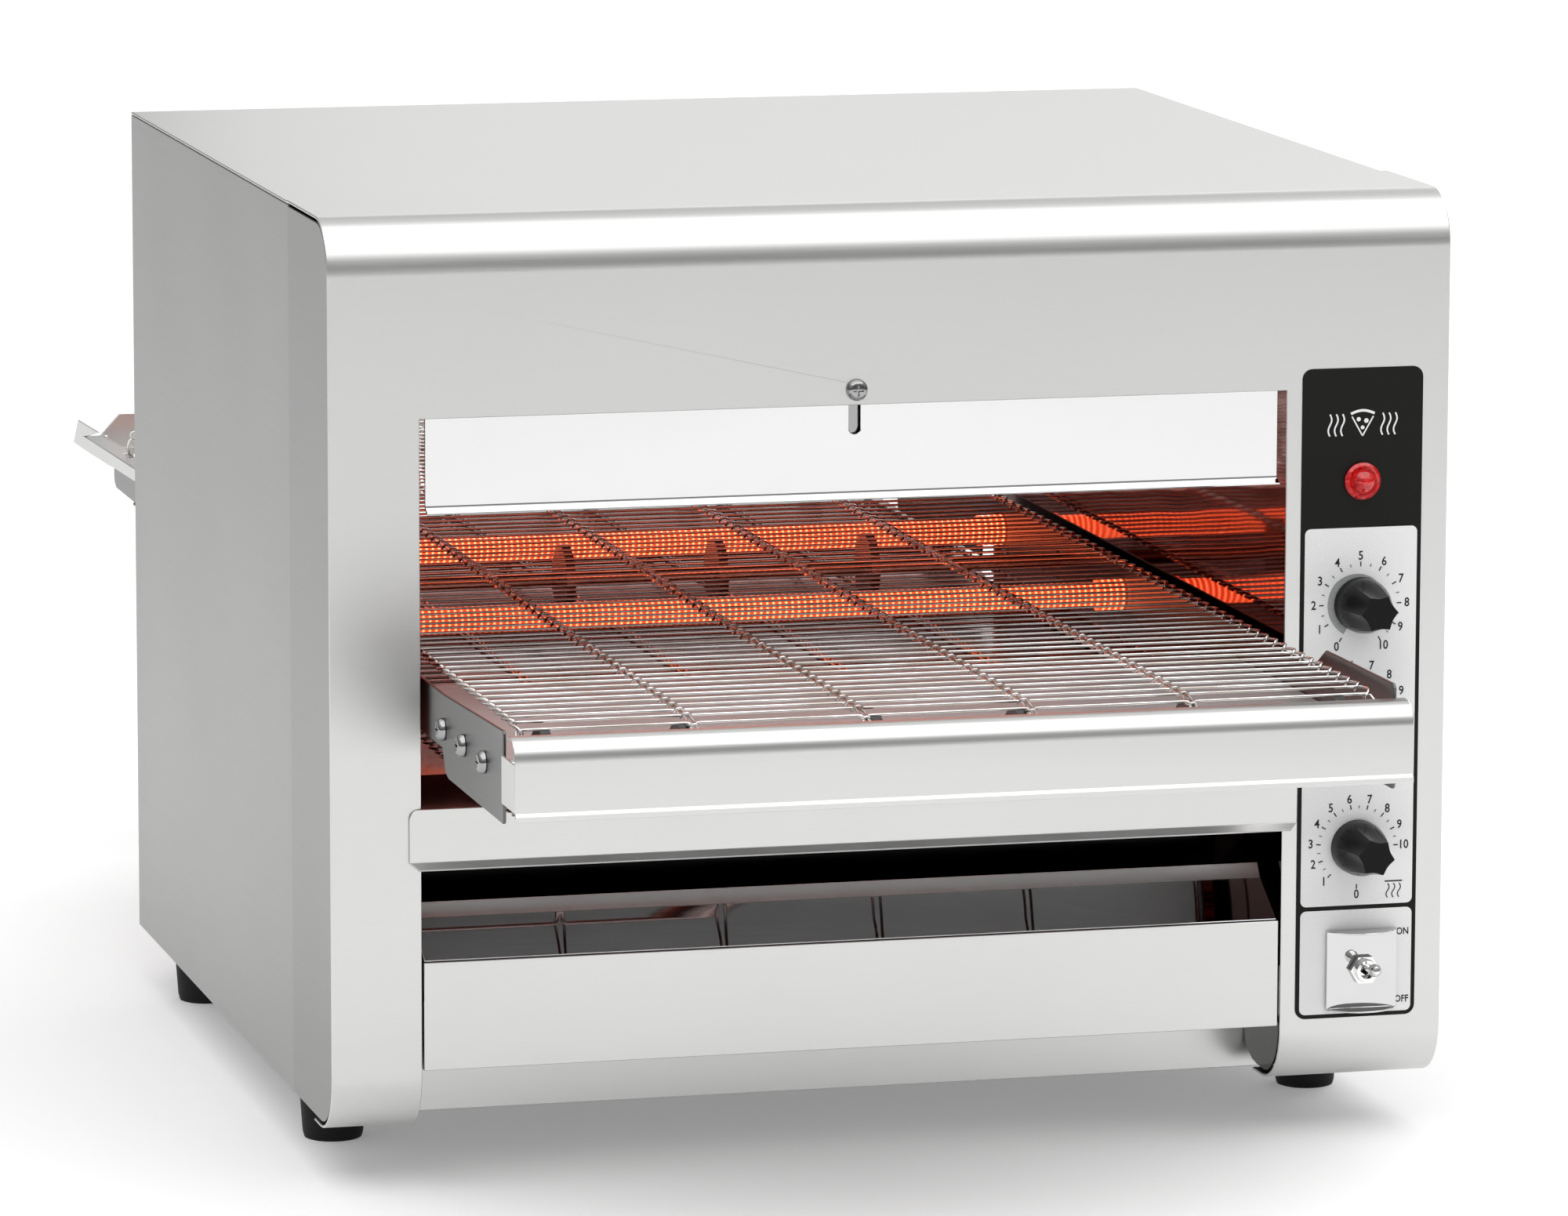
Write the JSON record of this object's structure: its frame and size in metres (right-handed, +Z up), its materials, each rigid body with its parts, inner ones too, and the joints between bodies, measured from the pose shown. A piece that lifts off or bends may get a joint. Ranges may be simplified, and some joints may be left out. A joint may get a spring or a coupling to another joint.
{
  "type": "conveyor pizza oven",
  "caption": "Countertop conveyor oven: sheet-steel body, wire-mesh belt through a quartz-heated chamber, height gate, pull-out tray, rotary controls and a guarded toggle switch.",
  "frame": {"origin": "centre of the footprint's bounding box, on the plane of the feet's undersides", "axes": "+Z up; -Y out of the front, where the belt enters and the controls are; +Y the way the belt carries the food; +X to the right of someone facing the front"},
  "size_m": [0.57, 1.2, 0.48],
  "materials": {
    "brushed_skin": "fine brushed stainless sheet",
    "side_skin": "matt brushed stainless sheet",
    "polished_sheet": "mirror-polished stainless sheet",
    "chamber_sheet": "bright reflector sheet",
    "belt_wire": "bright stainless wire",
    "plain_steel": "plain steel",
    "bright_steel": "bright plated steel",
    "black_inner": "matt black",
    "black_plastic": "glossy black plastic",
    "foot_rubber": "matt black rubber",
    "label_film": "printed film, black frame and pale fields",
    "lamp_red": "clear red plastic",
    "quartz_heater": "glowing quartz tube with a wire coil inside",
    "motor_paint": "dark grey paint"
  },
  "bodies": {
    "oven": {"base_pan": "plain_steel", "base_rail": "side_skin", "chamber_floor": "chamber_sheet", "chamber_roof": "chamber_sheet", "chamber_wall_left": "chamber_sheet", "chamber_wall_right": "chamber_sheet", "control_label": "label_film", "conveyor_plate": "side_skin", "cross_rail": "brushed_skin", "discharge_stop": "side_skin", "discharge_tail": "side_skin", "drive_chain": "plain_steel", "foot_front_left": "foot_rubber", "foot_front_right": "foot_rubber", "foot_rear_left": "foot_rubber", "foot_rear_right": "foot_rubber", "front_cover": "brushed_skin", "front_guard": "brushed_skin", "gate_screw": "bright_steel", "gear_motor": "motor_paint", "inlet_gland": "black_plastic", "lamp_bezel": "lamp_red", "lamp_lens": "lamp_red", "left_cheek": "side_skin", "left_panel": "side_skin", "leg_liner_left": "black_inner", "leg_liner_right": "black_inner", "lower_heater_front": "quartz_heater", "lower_heater_rear": "quartz_heater", "mesh_belt": "belt_wire", "rail_left": "side_skin", "rail_right": "side_skin", "rail_screw_left_1": "bright_steel", "rail_screw_left_2": "bright_steel", "rail_screw_left_3": "bright_steel", "rail_screw_right_1": "bright_steel", "rail_screw_right_2": "bright_steel", "rail_screw_right_3": "bright_steel", "rear_panel": "side_skin", "regulator_lower_heat": "black_plastic", "regulator_speed": "black_plastic", "regulator_upper_heat": "black_plastic", "right_cheek": "side_skin", "right_panel": "side_skin", "switch_guard": "polished_sheet", "toggle_body": "bright_steel", "top_panel": "brushed_skin", "upper_heater_front": "quartz_heater", "upper_heater_rear": "quartz_heater"},
    "gate": {"height_gate": "polished_sheet"},
    "tray": {"collecting_tray": "brushed_skin", "tray_deflector": "polished_sheet"},
    "front_idler": {"idler_front": "bright_steel"},
    "rear_idler": {"idler_rear": "bright_steel"},
    "belt_drive": {"drive_shaft": "bright_steel"},
    "motor_wheel": {"motor_sprocket": "plain_steel"},
    "speed_control": {"knob_speed": "black_plastic"},
    "upper_heat_control": {"knob_upper_heat": "black_plastic"},
    "lower_heat_control": {"knob_lower_heat": "black_plastic"},
    "switch_lever": {"toggle_lever": "bright_steel"}
  },
  "joints": [
    {"name": "gate_height", "type": "slide", "parent": "oven", "child": "gate", "axis": [0, 0, 1], "range_m": [-0.024, 0.018]},
    {"name": "tray_pull", "type": "slide", "parent": "oven", "child": "tray", "axis": [0, -1, 0], "range_m": [0, 0.3]},
    {"name": "front_idler_turn", "type": "hinge", "parent": "oven", "child": "front_idler", "pos_m": [-0.0196, -0.556, 0.239], "axis": [1, 0, 0], "continuous": true},
    {"name": "rear_idler_turn", "type": "hinge", "parent": "oven", "child": "rear_idler", "pos_m": [-0.0196, 0.4375, 0.239], "axis": [1, 0, 0], "continuous": true},
    {"name": "drive_turn", "type": "hinge", "parent": "oven", "child": "belt_drive", "pos_m": [-0.0196, -0.014, 0.239], "axis": [1, 0, 0], "continuous": true},
    {"name": "motor_turn", "type": "hinge", "parent": "oven", "child": "motor_wheel", "pos_m": [0.223, -0.014, 0.126], "axis": [1, 0, 0], "continuous": true},
    {"name": "speed_turn", "type": "hinge", "parent": "oven", "child": "speed_control", "pos_m": [0.24, -0.399, 0.2741], "axis": [0, 1, 0], "range_deg": [-150, 150]},
    {"name": "upper_heat_turn", "type": "hinge", "parent": "oven", "child": "upper_heat_control", "pos_m": [0.24, -0.399, 0.219], "axis": [0, 1, 0], "range_deg": [-180, 90]},
    {"name": "lower_heat_turn", "type": "hinge", "parent": "oven", "child": "lower_heat_control", "pos_m": [0.24, -0.399, 0.1508], "axis": [0, 1, 0], "range_deg": [-180, 90]},
    {"name": "switch_flip", "type": "hinge", "parent": "oven", "child": "switch_lever", "pos_m": [0.2436, -0.4054, 0.0883], "axis": [1, 0, 0], "range_deg": [0, 22]}
  ],
  "couplings": [
    {"joint": "front_idler_turn", "follows": "drive_turn", "ratio": 1},
    {"joint": "rear_idler_turn", "follows": "drive_turn", "ratio": 1},
    {"joint": "motor_turn", "follows": "drive_turn", "ratio": 1.5}
  ]
}
